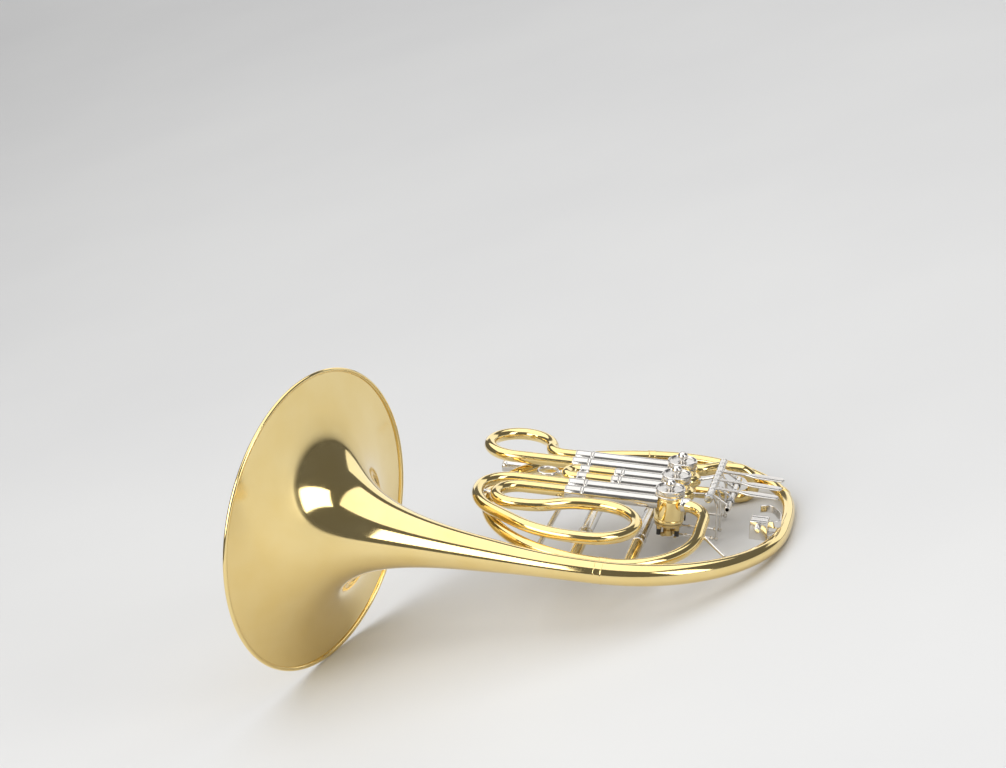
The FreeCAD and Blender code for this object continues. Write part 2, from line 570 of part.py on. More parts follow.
def make_finger_hook():
    """A strip bent round the little finger, clamped in a block on the ring."""
    line = [V(91, HOOK_Y, HOOK_Z), V(118, HOOK_Y, HOOK_Z), V(116, -52, HOOK_Z),
            V(104.5, -29.5, HOOK_Z), V(93, -35.5, HOOK_Z)]
    half, height = 0.8, 4.0
    edge = [V(91, HOOK_Y + a, HOOK_Z + b) for a, b in
            ((-half, -height), (half, -height), (half, height), (-half, height))]
    profile = Part.Face(Part.makePolygon(edge + edge[:1]))
    keep("finger_hook", route(line, [7, 28, 8]).makePipe(profile))
    block = Part.makeBox(18, 18, 20, V(88, HOOK_Y - 9, -1))
    slot = Part.makeBox(20, 2 * half + 0.6, 2 * height + 0.6,
                        V(87, HOOK_Y - half - 0.3, HOOK_Z - height - 0.3))
    screw_end = V(97, HOOK_Y - half - 0.5, HOOK_Z)
    hole = rod(screw_end + V(0, 0.4, 0), screw_end - V(0, 12, 0), 2.05)
    keep("hook_block", block.cut(slot).cut(hole))
    screw = fuse([rod(screw_end, screw_end - V(0, 13, 0), 2.0),
                  rod(screw_end - V(0, 8.6, 0), screw_end - V(0, 20, 0), 3.2)])
    keep("hook_screw", screw)
    base = Part.makeBox(10, 12, 7, V(106, HOOK_Y - 6, -3))
    keep("hook_base", base.cut(loft([ring_station(i / 36) for i in range(26, 34)])))


# ---- lying on a table --------------------------------------------------------------------------
def rest_placement():
    """Turns the horn until it lies on three points, and puts the origin under its middle."""
    turn = FreeCAD.Rotation(V(1, 0, 0), REST_ROLL).multiply(FreeCAD.Rotation(V(0, 1, 0), REST_TIP))
    points = [turn.multVec(p) for shape in PARTS.values() for p in shape.tessellate(0.15)[0]]
    xs, ys, zs = [p.x for p in points], [p.y for p in points], [p.z for p in points]
    base = V(-(min(xs) + max(xs)) / 2, -(min(ys) + max(ys)) / 2, -min(zs))
    return FreeCAD.Placement(base, turn)


def build():
    make_body()
    make_outlet()
    make_leadpipe()
    make_inlet()
    make_tuning_slide()
    for number in SLIDES:
        make_slide_tubes(number)
        make_valve(number)
        make_key(number)
        make_link_rod(number)
    make_crook_1()
    make_crook_2()
    make_crook_3()
    make_knuckles()
    make_key_frame()
    make_key_springs()
    make_stays()
    make_finger_hook()


def main():
    build()
    placement = rest_placement()
    os.makedirs("parts", exist_ok=True)
    for name, shape in PARTS.items():
        laid = shape.copy()
        laid.Placement = placement.multiply(laid.Placement)
        laid.exportStep(f"parts/{name}.step")


if __name__ == "__main__":
    main()
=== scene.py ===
"""The looks of the French horn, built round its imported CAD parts. Runs in Blender 4.5.

Shapes are worked out in the horn's own frame, in millimetres, as the CAD source does: +X runs
along the valve slides towards the keys, +Z towards the valve caps, and valve 2 stands on the
origin. piece() lays each one down in the row frame, where the horn rests on a table.
"""
import json
import math
import bmesh
import bpy
from mathutils import Matrix, Quaternion, Vector


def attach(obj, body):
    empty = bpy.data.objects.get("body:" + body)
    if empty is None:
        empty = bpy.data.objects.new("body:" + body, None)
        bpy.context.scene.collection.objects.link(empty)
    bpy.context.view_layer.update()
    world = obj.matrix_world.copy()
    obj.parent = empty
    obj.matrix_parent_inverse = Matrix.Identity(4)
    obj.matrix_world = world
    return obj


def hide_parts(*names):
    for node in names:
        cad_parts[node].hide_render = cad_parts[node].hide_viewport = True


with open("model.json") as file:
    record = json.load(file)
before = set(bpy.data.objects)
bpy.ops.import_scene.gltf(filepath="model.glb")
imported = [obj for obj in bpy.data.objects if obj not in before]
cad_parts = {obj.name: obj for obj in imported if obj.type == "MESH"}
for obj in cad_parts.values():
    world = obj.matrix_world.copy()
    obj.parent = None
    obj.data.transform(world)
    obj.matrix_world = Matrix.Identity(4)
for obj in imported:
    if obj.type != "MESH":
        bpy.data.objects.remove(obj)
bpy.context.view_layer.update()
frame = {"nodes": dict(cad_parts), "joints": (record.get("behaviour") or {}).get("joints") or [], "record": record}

V = Vector
BRASS, NICKEL, PLAIN = "lacquered_brass", "nickel_silver", "valve_brass"
STEEL, RUBBER = "steel", "stop_rubber"

# ---- sizes, as in the CAD, millimetres -----------------------------------------------------------
MM = 0.001

# Tubes and their fittings: outer radius, then bore, length or gap.
TUBE_R, TUBE_BORE = 6.3, 5.6
SLEEVE_R, SLEEVE_BORE = 6.75, 6.05
LEG_R, LEG_BORE = 6.0, 5.5
BEAD_R, BEAD_LENGTH = 7.5, 2.2
FERRULE_R, FERRULE_GAP = 7.0, 0.3
WALL = 0.9

# Valves. A port lies PORT to either side of its valve's middle, and tubes end against the casing.
PITCH = 39.4
VALVE_Y = {1: PITCH, 2: 0.0, 3: -PITCH}
PORT, PORT_Z = 9.85, 14.5
TUBE_END, SLEEVE_END = 11.0, 10.5
CASING_R, CASING_TOP, CASING_BOTTOM = 15.6, 23.0, -9.0
CAP_R, CAP_TOP = 15.4, 28.0
CAP_BALL_R, CAP_BALL_Z = 5.4, 31.6

# Valve slides: how far the outer tube's mouth and the leg's ferrule lie from the valve.
SLIDES = {1: (97.0, 114.0), 2: (58.0, 66.0), 3: (90.0, 107.0)}
LEG_END = 22.0

# Keys, link rods and stop arms.
HINGE_X, HINGE_Z = 41.5, 26.0
BARREL_R = 4.0
KEY_Y = {1: 24.3, 2: 0.0, 3: -24.4}
BLADE_START, BLADE_ROUND, BLADE_TIP = 3.0, 61.0, 6.7
BLADE_NECK, BLADE_PAD = 2.2, 5.9
ARM_X, ROD_Z = 49.0, -26.0
STOP_ARM_R, EYE_BORE, EYE_R = 9.0, 2.55, 4.0
ROD_OFFSET = 7.68
ROD_SIDE = {1: -1, 2: -1, 3: 1}
ROD_R, BALL_R = 1.3, 2.3
BAR_X, BAR_Z, BAR_R, BAR_LENGTH = 60.0, 13.0, 3.2, 87.0
HOOK_Y, HOOK_Z = -73.0, 14.0

# The ring, in turns from its start. It swings out to pass round the inlet tube's bend.
RING_CENTRE = V((-42.5, -49.3, 0))
RING_START, RING_SWELL = 140.0, 17.5
SWING_START, SWING_RISE = 0.46, 0.14
SWING_END, SWING_FALL = 0.627, 0.124

# The bell branch runs along two arcs, and its size follows the usual horn formula.
BRANCH_END_R = 11.4
BELL_R, BELL_OFFSET, BELL_POWER = 152.5, 29.0, 1.07
BELL_TURN_1, BELL_TURN_2 = math.radians(8.8), math.radians(20.8)
BELL_ARC_1, BELL_ARC_2 = 467.6, 1142.0
BELL_DIP, FLARE_START = 8.5, 0.62

# The main tuning slide and the tubes that lead to it.
TUNING_X, TUNING_Z = (-82.0, -26.0), -24.0
TUNING_FAR, TUNING_MOUTH, TUNING_BOW_Y = 20.0, -62.0, -134.0
MAIN_Y, MAIN_Z, INLET_Z = 72.0, -14.5, -19.5
RECEIVER_X, LEADPIPE_X, BEND_X = -196.0, -177.9, -112.0
RECEIVER_BORE, RECEIVER_DEPTH = 4.2, 18.0
LEADPIPE_R, LEADPIPE_BORE = 5.2, 4.5


# ---- the horn's frame ----------------------------------------------------------------------------
def joint(name):
    return next(j for j in frame["joints"] if j["name"] == name)


def horn_placement():
    """Takes horn-frame millimetres to row-frame metres. It is read off two of the joints."""
    rotor_z = 10.0
    x = -V(joint("slide_1_pull")["axis"])
    z = V(joint("rotor_2_turn")["axis"])
    y = z.cross(x)
    turn = Matrix((x, y, z)).transposed().to_4x4()
    origin = V(joint("rotor_2_turn")["pos_m"]) - z * (rotor_z * MM)
    return Matrix.Translation(origin) @ turn @ Matrix.Scale(MM, 4)


LAY = horn_placement()


# ---- mesh helpers --------------------------------------------------------------------------------
class Shape:
    """Vertices and faces that grow as parts of one piece are added."""

    def __init__(self):
        self.points = []
        self.faces = []

    def rings(self, rings, closed=False, caps=True):
        """Skins a row of rings that have the same number of points."""
        base, n = len(self.points), len(rings[0])
        for ring in rings:
            self.points += ring
        count = len(rings)
        for i in range(count if closed else count - 1):
            a, b = base + i * n, base + (i + 1) % count * n
            self.faces += [(a + k, a + (k + 1) % n, b + (k + 1) % n, b + k) for k in range(n)]
        if caps and not closed:
            self.faces.append(tuple(base + k for k in reversed(range(n))))
            self.faces.append(tuple(base + (count - 1) * n + k for k in range(n)))
        return self


def circle(centre, side, up, radius, sides):
    steps = [2 * math.pi * k / sides for k in range(sides)]
    return [centre + side * (radius * math.cos(a)) + up * (radius * math.sin(a)) for a in steps]


def carried(stations, side=None):
    """(centre, side, up) at each station (centre, direction), turned as little as possible."""
    first = stations[0][1]
    side = side or first.orthogonal().normalized()
    frames, before = [], first
    for centre, direction in stations:
        side = before.rotation_difference(direction) @ side
        side = (side - direction * side.dot(direction)).normalized()
        frames.append((centre, side, direction.cross(side)))
        before = direction
    return frames


def pipe(shape, stations, outer, inner=None, sides=40):
    """A tube along stations. outer and inner are radii, or functions of the station's number."""
    frames = carried(stations)
    size = outer if callable(outer) else lambda i: outer
    skin = [circle(c, s, u, size(i), sides) for i, (c, s, u) in enumerate(frames)]
    if inner is None:
        return shape.rings(skin)
    bore = inner if callable(inner) else lambda i: inner
    lining = [circle(c, s, u, bore(i), sides) for i, (c, s, u) in enumerate(frames)]
    return shape.rings(skin + lining[::-1], closed=True)


def route(points, radii, step=math.radians(4)):
    """Stations along straight runs through the points, with an arc at each inner point."""
    stations = [(points[0], (points[1] - points[0]).normalized())]
    for i, radius in enumerate(radii, 1):
        corner = points[i]
        into = (corner - points[i - 1]).normalized()
        out = (points[i + 1] - corner).normalized()
        turn = into.angle(out)
        axis = into.cross(out).normalized()
        start = corner - into * (radius * math.tan(turn / 2))
        centre = start + axis.cross(into) * radius
        count = max(2, math.ceil(turn / step))
        for k in range(count + 1):
            spin = Quaternion(axis, turn * k / count)
            stations.append((centre + spin @ (start - centre), spin @ into))
    stations.append((points[-1], (points[-1] - points[-2]).normalized()))
    return spaced(stations)


def spaced(stations, shortest=0.02, longest=12):
    """Drops stations that fall on the one before, and divides long runs."""
    kept = [stations[0]]
    for centre, direction in stations[1:]:
        gap = (centre - kept[-1][0]).length
        if gap < shortest:
            continue
        count = math.ceil(gap / longest)
        start = kept[-1][0]
        kept += [(start.lerp(centre, k / count), direction) for k in range(1, count)]
        kept.append((centre, direction))
    return kept


def straight(start, end):
    heading = (end - start).normalized()
    return spaced([(start, heading), (end, heading)])


def softened(profile, radius, steps=3, closed=True):
    """Rounds a profile's corners. Its points are (distance from the axis, height)."""
    soft, n = [], len(profile)
    for i, corner in enumerate(profile):
        if not closed and i in (0, n - 1):
            soft.append(corner)
            continue
        p, before, after = V(corner), V(profile[i - 1]), V(profile[(i + 1) % n])
        reach = min(radius, 0.45 * (before - p).length, 0.45 * (after - p).length)
        a = p + (before - p).normalized() * reach
        b = p + (after - p).normalized() * reach
        for k in range(steps + 1):
            t = k / steps
            soft.append(tuple(a.lerp(p, t).lerp(p.lerp(b, t), t)))
    return soft


def lathe(shape, profile, base, axis, sides=56, soft=0.25, closed=True, knurl=None):
    """Turns a profile about an axis. knurl is (lowest height, highest, depth) of a milled edge.

    Only points well away from the axis are milled.
    """
    axis = axis.normalized()
    side = axis.orthogonal().normalized()
    up = axis.cross(side)
    curve = softened(profile, soft, closed=closed) if soft else profile
    low, high, depth = knurl or (0, 0, 0)
    n = len(curve)
    first = len(shape.points)
    for k in range(sides):
        angle = 2 * math.pi * k / sides
        away = side * math.cos(angle) + up * math.sin(angle)
        for r, z in curve:
            is_edge = low <= z <= high and r > 8 * depth
            milled = k % 2 * depth if is_edge else 0
            shape.points.append(base + away * max(r - milled, 0) + axis * z)
    for k in range(sides):
        a, b = first + k * n, first + (k + 1) % sides * n
        last = n if closed else n - 1
        shape.faces += [(a + i, b + i, b + (i + 1) % n, a + (i + 1) % n) for i in range(last)]
    return shape


def wire_section(ring_r, wire_r, sides):
    """The profile of a ring of round wire."""
    angles = [2 * math.pi * k / sides for k in range(sides)]
    return [(ring_r + wire_r * math.cos(a), wire_r * math.sin(a)) for a in angles]


def ball(shape, centre, radius, sides=32):
    half = sides // 2
    arc = [(radius * math.sin(math.pi * k / half), -radius * math.cos(math.pi * k / half))
           for k in range(half + 1)]
    return lathe(shape, arc, centre, V((0, 0, 1)), sides, soft=0, closed=False)


def stadium(half_width, half_height, sides=28, power=0.55):
    """A rounded oblong: a superellipse, as (across, up) pairs."""
    points = []
    for k in range(sides):
        angle = 2 * math.pi * k / sides
        c, s = math.cos(angle), math.sin(angle)
        points.append((half_width * math.copysign(abs(c) ** power, c),
                       half_height * math.copysign(abs(s) ** power, s)))
    return points


def strip(shape, stations, section, side):
    """Sweeps a section, a function of the station's number, along stations."""
    frames = carried(stations, side)
    skin = [[c + s * a + u * b for a, b in section(i)] for i, (c, s, u) in enumerate(frames)]
    return shape.rings(skin)


def block(shape, low, high, bevel=0.6):
    """A box with rounded edges."""
    mesh = bmesh.new()
    bmesh.ops.create_cube(mesh, size=1)
    middle, size = (V(low) + V(high)) / 2, V(high) - V(low)
    for vertex in mesh.verts:
        vertex.co = middle + V((vertex.co.x * size.x, vertex.co.y * size.y, vertex.co.z * size.z))
    bmesh.ops.bevel(mesh, geom=mesh.edges[:], offset=bevel, segments=3, affect="EDGES", profile=0.5)
    base = len(shape.points)
    shape.points += [v.co.copy() for v in mesh.verts]
    shape.faces += [tuple(base + v.index for v in f.verts) for f in mesh.faces]
    mesh.free()
    return shape


def piece(name, shape, slot, body, *nodes, crease=32):
    """Makes the mesh object, lays it down, parents it to its CAD body and hides the CAD nodes that it stands in
    for.
    """
    mesh = bpy.data.meshes.new(name)
    mesh.from_pydata(shape.points, [], shape.faces)
    tidy = bmesh.new()
    tidy.from_mesh(mesh)
    bmesh.ops.remove_doubles(tidy, verts=tidy.verts, dist=1e-4)
    bmesh.ops.recalc_face_normals(tidy, faces=tidy.faces)
    tidy.to_mesh(mesh)
    tidy.free()
    mesh.transform(LAY)
    mesh.shade_smooth()
    mesh.set_sharp_from_angle(angle=math.radians(crease))
    mesh.materials.append(FINISHES[slot])
    made = bpy.data.objects.new(name, mesh)
    bpy.context.scene.collection.objects.link(made)
    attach(made, body)
    if nodes:
        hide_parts(*nodes)
    return made


# ---- finishes ------------------------------------------------------------------------------------
NOISE_LOW, NOISE_HIGH = 0.3, 0.7


class Nodes:
    """A few short names for building a node tree."""

    def __init__(self, name):
        self.material = bpy.data.materials.new(name)
        self.material.use_nodes = True
        self.tree = self.material.node_tree
        self.shader = self.tree.nodes["Principled BSDF"]
        self.place = self.tree.nodes.new("ShaderNodeTexCoord")

    def join(self, start, end):
        self.tree.links.new(start, end)

    def noise(self, scale, detail, stretch=(1, 1, 1)):
        """Noise over the object's own metres; stretch squeezes it along an axis."""
        mapping = self.tree.nodes.new("ShaderNodeMapping")
        mapping.inputs["Scale"].default_value = stretch
        self.join(self.place.outputs["Object"], mapping.inputs["Vector"])
        noise = self.tree.nodes.new("ShaderNodeTexNoise")
        noise.inputs["Scale"].default_value = scale
        noise.inputs["Detail"].default_value = detail
        self.join(mapping.outputs["Vector"], noise.inputs["Vector"])
        return noise.outputs["Fac"]

    def ramp(self, factor, *stops):
        ramp = self.tree.nodes.new("ShaderNodeValToRGB")
        for k, (place, colour) in enumerate(stops):
            stop = ramp.color_ramp.elements[k] if k < 2 else ramp.color_ramp.elements.new(place)
            stop.position = place
            stop.color = (*colour, 1)
        self.join(factor, ramp.inputs["Fac"])
        return ramp.outputs["Color"]

    def range(self, factor, low, high):
        """Spreads noise, which keeps mostly between NOISE_LOW and NOISE_HIGH, over low to high."""
        span = self.tree.nodes.new("ShaderNodeMapRange")
        span.inputs["To Min"].default_value = low
        span.inputs["To Max"].default_value = high
        span.inputs["From Min"].default_value = NOISE_LOW
        span.inputs["From Max"].default_value = NOISE_HIGH
        self.join(factor, span.inputs["Value"])
        return span.outputs["Result"]

    def bump(self, *layers):
        """layers are (height, strength, distance in metres)."""
        below = None
        for height, strength, distance in layers:
            bump = self.tree.nodes.new("ShaderNodeBump")
            bump.inputs["Strength"].default_value = strength
            bump.inputs["Distance"].default_value = distance
            self.join(height, bump.inputs["Height"])
            if below:
                self.join(below, bump.inputs["Normal"])
            below = bump.outputs["Normal"]
        self.join(below, self.shader.inputs["Normal"])

    def set(self, **values):
        for name, value in values.items():
            self.shader.inputs[name.replace("_", " ")].default_value = value


def metal(name, dark, light, rough, swing, scratch, coat=0.0):
    """A polished metal: faint cloudy colour, wiped and hazy patches, and hairline scratches.

    Its roughness swings to either side of rough, and coat is the weight of its lacquer.
    """
    n = Nodes(name)
    cloud = n.noise(22, 4)
    n.join(n.ramp(cloud, (NOISE_LOW, dark), (NOISE_HIGH, light)), n.shader.inputs["Base Color"])
    haze = n.noise(60, 6, (1, 1, 2.5))
    n.join(n.range(haze, rough - swing, rough + swing), n.shader.inputs["Roughness"])
    hairs = n.noise(260, 2, (1, 14, 14))
    waves = n.noise(90, 2)
    n.bump((hairs, scratch, 0.00004), (waves, scratch * 0.6, 0.00012))
    n.set(Metallic=1.0, Coat_Weight=coat, Coat_Roughness=0.04)
    return n.material


def rubber_finish(name):
    n = Nodes(name)
    grain = n.noise(900, 5)
    n.join(n.ramp(grain, (0.35, (0.015, 0.014, 0.013)), (0.7, (0.05, 0.047, 0.043))),
           n.shader.inputs["Base Color"])
    n.join(n.range(grain, 0.6, 0.85), n.shader.inputs["Roughness"])
    n.bump((grain, 0.4, 0.0002))
    return n.material


FINISHES = {
    BRASS: metal("gold_lacquered_brass", (0.90, 0.69, 0.29), (0.93, 0.74, 0.35),
                 rough=0.09, swing=0.03, scratch=0.035, coat=0.30),
    NICKEL: metal("polished_nickel_silver", (0.68, 0.655, 0.62), (0.78, 0.755, 0.72),
                  rough=0.17, swing=0.05, scratch=0.06),
    PLAIN: metal("machined_brass", (0.50, 0.36, 0.14), (0.66, 0.49, 0.22),
                 rough=0.30, swing=0.08, scratch=0.16),
    STEEL: metal("spring_steel", (0.42, 0.42, 0.42), (0.58, 0.58, 0.58),
                 rough=0.24, swing=0.06, scratch=0.12),
    RUBBER: rubber_finish("stop_bumper_rubber"),
}


def paint_carried_over():
    """The CAD nodes that stay in view take the same finishes."""
    slots = {s["node"]: s["material_slot"] for s in frame["record"]["subparts"]}
    for name, node in frame["nodes"].items():
        if node.material_slots:
            for holder in node.material_slots:
                holder.material = FINISHES[slots[name]]
        else:
            node.data.materials.append(FINISHES[slots[name]])


# ---- the body's line -----------------------------------------------------------------------------
def smooth(t):
    """Eases from 0 to 1 while t goes from 0 to 1."""
    t = min(max(t, 0.0), 1.0)
    return t * t * (3 - 2 * t)


def ring_point(turn):
    angle = math.radians(-90 - 360 * turn)
    rise = smooth((turn - SWING_START) / SWING_RISE)
    swing = rise * (1 - smooth((turn - SWING_END) / SWING_FALL))
    growth = 3 * smooth(turn / 0.3) + 19 * smooth((turn - 0.28) / 0.42)
    radius = RING_START + growth + RING_SWELL * swing
    return RING_CENTRE + V((radius * math.cos(angle), radius * math.sin(angle), 0))


def ring_size(turn):
    """The ring's outer radius, which grows towards the bell branch."""
    growth = (BRANCH_END_R - TUBE_R - 0.4) * smooth((turn - 0.68) / 0.34)
    return TUBE_R + 0.4 * turn + growth


def ring_station(turn):
    step = 1e-4
    return ring_point(turn), (ring_point(turn + step) - ring_point(turn - step)).normalized()


def bell_length():
    """Lengths of the branch's first arc and of both."""
    first = BELL_ARC_1 * BELL_TURN_1
    return first, first + BELL_ARC_2 * (BELL_TURN_2 - BELL_TURN_1)


def bell_station(s):
    """Centre and heading at a distance s along the bell branch."""
    first, length = bell_length()
    start = ring_point(1.0)
    near = min(s, first) / BELL_ARC_1
    x = start.x - BELL_ARC_1 * math.sin(near)
    y = start.y + BELL_ARC_1 * (1 - math.cos(near))
    turn = near
    if s > first:
        turn = BELL_TURN_1 + (s - first) / BELL_ARC_2
        x -= BELL_ARC_2 * (math.sin(turn) - math.sin(BELL_TURN_1))
        y += BELL_ARC_2 * (math.cos(BELL_TURN_1) - math.cos(turn))
    dip = BELL_DIP * (s / length) ** 2
    heading = V((-math.cos(turn), math.sin(turn), -2 * BELL_DIP * s / length ** 2))
    return V((x, y, -dip)), heading.normalized()


def bell_size(s):
    """The bell's outer radius at s: a slow cone from the ring that blends into the flare."""
    left = bell_length()[1] - s
    cone = BRANCH_END_R + 0.012 * s
    flare = BELL_R * (BELL_OFFSET / (BELL_OFFSET + left)) ** BELL_POWER
    blend = smooth(s / 120.0)
    return cone * (1 - blend) + flare * blend


def band(shape, station, size, length, sides=56):
    """A ferrule round a tube: a ring with rolled ends and a shallow waist."""
    centre, direction = station
    half = length / 2
    root, edge, waist = size - 0.3, size + 0.6, size + 0.4
    profile = [(root, -half), (edge, -half), (edge, 1.1 - half), (waist, 1.5 - half),
               (waist, half - 1.5), (edge, half - 1.1), (edge, half), (root, half)]
    return lathe(shape, profile, centre, direction, sides, soft=0.3)


def sheet_tube(places, station, size, sides):
    """A tube of sheet brass whose line and size are functions of the place along it."""
    return pipe(Shape(), [station(s) for s in places], lambda i: size(places[i]),
                lambda i: size(places[i]) - WALL, sides)


def make_body():
    turns = [i / 180 for i in range(181)]
    piece("ring_tube", sheet_tube(turns, ring_station, ring_size, 56), BRASS, "horn", "body_ring")
    length = bell_length()[1]
    seam = length * FLARE_START
    branch = [seam * i / 50 for i in range(51)]
    piece("bell_branch_tube", sheet_tube(branch, bell_station, bell_size, 96),
          BRASS, "horn", "bell_branch")
    crowding = 2.2   # Stations crowd towards the mouth, where the bell widens fastest.
    flare = [length - (length - seam) * (1 - i / 90) ** crowding for i in range(91)]
    piece("bell_shell", sheet_tube(flare, bell_station, bell_size, 192), BRASS, "horn", "bell_flare")
    make_rim(length)
    make_bands()


def make_bands():
    bands = Shape()
    for turn in (0.0, 0.5, 0.66):
        band(bands, ring_station(turn), ring_size(turn), 8)
    band(bands, bell_station(0), BRANCH_END_R - 0.35, 9, 72)
    piece("ring_ferrules", bands, BRASS, "horn", "body_ferrules")


def make_rim(length):
    """The wire that the bell's edge is rolled over."""
    mouth, out = bell_station(length)
    wire, overlap = 2.2, 0.3
    section = wire_section(BELL_R + wire - overlap, wire, 20)
    rim = lathe(Shape(), section, mouth, out, 240, soft=0)
    piece("bell_rim", rim, BRASS, "horn", "bell_rim_wire")


# ---- tubing from the valves ----------------------------------------------------------------------
FULL = 0.995   # of a bow's radius, so that a trace of straight tube stays between its two bends


def flat(points):
    """Points at the height of the ports."""
    return [V((x, y, PORT_Z)) for x, y in points]


def port_plug(shape, spot, out, bore):
    """A disc that closes a tube's end where it meets a casing's round wall."""
    edge = bore + 0.2
    disc = [(0, 0.2), (edge, 0.2), (edge, 1.7), (0, 1.7)]
    return lathe(shape, disc, spot, out, soft=0, closed=False)


def make_outlet():
    """From valve 3's port down to the ring's start."""
    y = -PITCH - PORT
    end = ring_point(0)
    points = [V((TUBE_END, y, PORT_Z)), V((40.5, y, PORT_Z)), V((40.5, end.y, 0)), end]
    tube = pipe(Shape(), route(points, [29, 80]), TUBE_R, TUBE_BORE)
    port_plug(tube, points[0], V((1, 0, 0)), TUBE_BORE)
    piece("outlet_pipe", tube, BRASS, "horn", "outlet_tube")
    # The nickel ferrule joins the tube to valve 3.
    bead = FERRULE_R + 0.35
    ferrule = [(TUBE_R - 0.2, 0), (FERRULE_R, 0), (bead, 0.6), (bead, 1.6), (FERRULE_R, 2.2),
               (FERRULE_R, 8.6), (TUBE_R + 0.2, 9.4), (TUBE_R - 0.2, 9.4)]
    piece("outlet_ferrule", lathe(Shape(), ferrule, V((13, y, PORT_Z)), V((1, 0, 0))), NICKEL, "horn")


def make_leadpipe():
    """The receiver, the tapering leadpipe and its bend to the main tuning slide."""
    x = TUNING_X[0]
    start, end = V((LEADPIPE_X, MAIN_Y, MAIN_Z)), V((BEND_X, MAIN_Y, MAIN_Z))
    taper = straight(start, end)
    grow = (TUBE_R - LEADPIPE_R) / (len(taper) - 1)
    tube = pipe(Shape(), taper, lambda i: LEADPIPE_R + grow * i, lambda i: LEADPIPE_BORE + grow * i)
    piece("leadpipe_taper", tube, BRASS, "horn", "leadpipe")
    bend = [end, V((x, MAIN_Y, MAIN_Z)), V((x, TUNING_FAR + 14, TUNING_Z)),
            V((x, TUNING_FAR, TUNING_Z))]
    piece("leadpipe_curve", pipe(Shape(), route(bend, [24, 30]), TUBE_R, TUBE_BORE),
          BRASS, "horn", "leadpipe_bend")
    length, socket = 36, LEADPIPE_R + 0.05
    receiver = [(RECEIVER_BORE, 0), (6.4, 0), (7.0, 1.5), (7.0, 4), (6.4, 5.5), (6.2, length - 6),
                (5.6, length), (socket, length), (socket, RECEIVER_DEPTH),
                (RECEIVER_BORE, RECEIVER_DEPTH)]
    turned = lathe(Shape(), receiver, V((RECEIVER_X, MAIN_Y, MAIN_Z)), V((1, 0, 0)), soft=0.5)
    piece("receiver", turned, NICKEL, "horn", "mouthpiece_receiver")


def make_inlet():
    """From the tuning slide past valve 1's far side, round a bow and back to its port."""
    x, port_y, upper_y, turn_x = TUNING_X[1], PITCH + PORT, 64.0, 55.0
    bow = math.hypot(upper_y - MAIN_Y, PORT_Z - INLET_Z) / 2
    points = [V((x, TUNING_FAR, TUNING_Z)), V((x, TUNING_FAR + 14, TUNING_Z)),
              V((x, MAIN_Y, INLET_Z)),
              V((turn_x + bow, MAIN_Y, INLET_Z)), V((turn_x + bow, upper_y, PORT_Z)),
              V((37, upper_y, PORT_Z)), V((20, port_y, PORT_Z)), V((TUBE_END, port_y, PORT_Z))]
    stations = route(points, [30, 24, bow * FULL, bow * FULL, 14, 14])
    tube = pipe(Shape(), stations, TUBE_R, TUBE_BORE)
    port_plug(tube, points[-1], V((1, 0, 0)), TUBE_BORE)
    piece("inlet_pipe", tube, BRASS, "horn", "valve_inlet_tube")


def sleeve(shape, start, end):
    """An outer slide tube from start to end, with a rolled bead at its mouth, which is at end."""
    length = (end - start).length
    profile = [(SLEEVE_BORE, 0), (SLEEVE_R, 0), (SLEEVE_R, length - BEAD_LENGTH - 0.4),
               (BEAD_R - 0.15, length - BEAD_LENGTH), (BEAD_R, length - BEAD_LENGTH / 2),
               (BEAD_R - 0.15, length - 0.3), (BEAD_R - 0.5, length), (SLEEVE_BORE, length)]
    return lathe(shape, profile, start, end - start, soft=0.35)


def leg(shape, mouth, inner_end, ferrule_end):
    """An inner slide tube, with the ferrule that takes the crook."""
    out = (mouth - inner_end).normalized()
    pipe(shape, straight(inner_end, mouth), LEG_R, LEG_BORE)
    length = (ferrule_end - mouth).length
    groove = FERRULE_R - 0.35
    profile = [(LEG_BORE, 0), (FERRULE_R - 0.4, 0), (FERRULE_R, 0.5), (FERRULE_R, length - 1.6),
               (groove, length - 1.3), (groove, length - 0.9), (FERRULE_R - 0.1, length - 0.6),
               (FERRULE_R - 0.3, length), (LEG_BORE, length)]
    return lathe(shape, profile, mouth, out, soft=0.25)


def make_tuning_slide():
    sleeves, legs = Shape(), Shape()
    ferrule_y = TUNING_MOUTH - FERRULE_GAP
    for x in TUNING_X:
        far, mouth = V((x, TUNING_FAR, TUNING_Z)), V((x, TUNING_MOUTH, TUNING_Z))
        sleeve(sleeves, far, mouth)
        collar = [(SLEEVE_R - 0.3, 0), (BEAD_R, 0), (BEAD_R, 3), (SLEEVE_R - 0.3, 3)]
        lathe(sleeves, collar, V((x, TUNING_FAR - 6.5, TUNING_Z)), V((0, -1, 0)), soft=0.5)
        leg(legs, V((x, ferrule_y, TUNING_Z)), V((x, TUNING_FAR - 12, TUNING_Z)),
            V((x, ferrule_y - 12, TUNING_Z)))
    piece("tuning_sleeves", sleeves, NICKEL, "horn", "tuning_outer_tubes")
    piece("tuning_legs", legs, NICKEL, "tuning_slide", "tuning_slide_legs")
    left, right = TUNING_X
    near, start = TUNING_BOW_Y - (right - left) / 2, ferrule_y - 11.5
    bow = [V((left, start, TUNING_Z)), V((left, near, TUNING_Z)), V((right, near, TUNING_Z)),
           V((right, start, TUNING_Z))]
    piece("tuning_bow", pipe(Shape(), route(bow, [27.9, 27.9]), TUBE_R, TUBE_BORE),
          BRASS, "tuning_slide", "tuning_slide_bow")


# ---- valve slides --------------------------------------------------------------------------------
CROOK_INNER_X, CROOK_OUTER_X = -174.0, -193.5   # the left runs of slide 3's crook


def leg_ys(number):
    return VALVE_Y[number] + PORT, VALVE_Y[number] - PORT


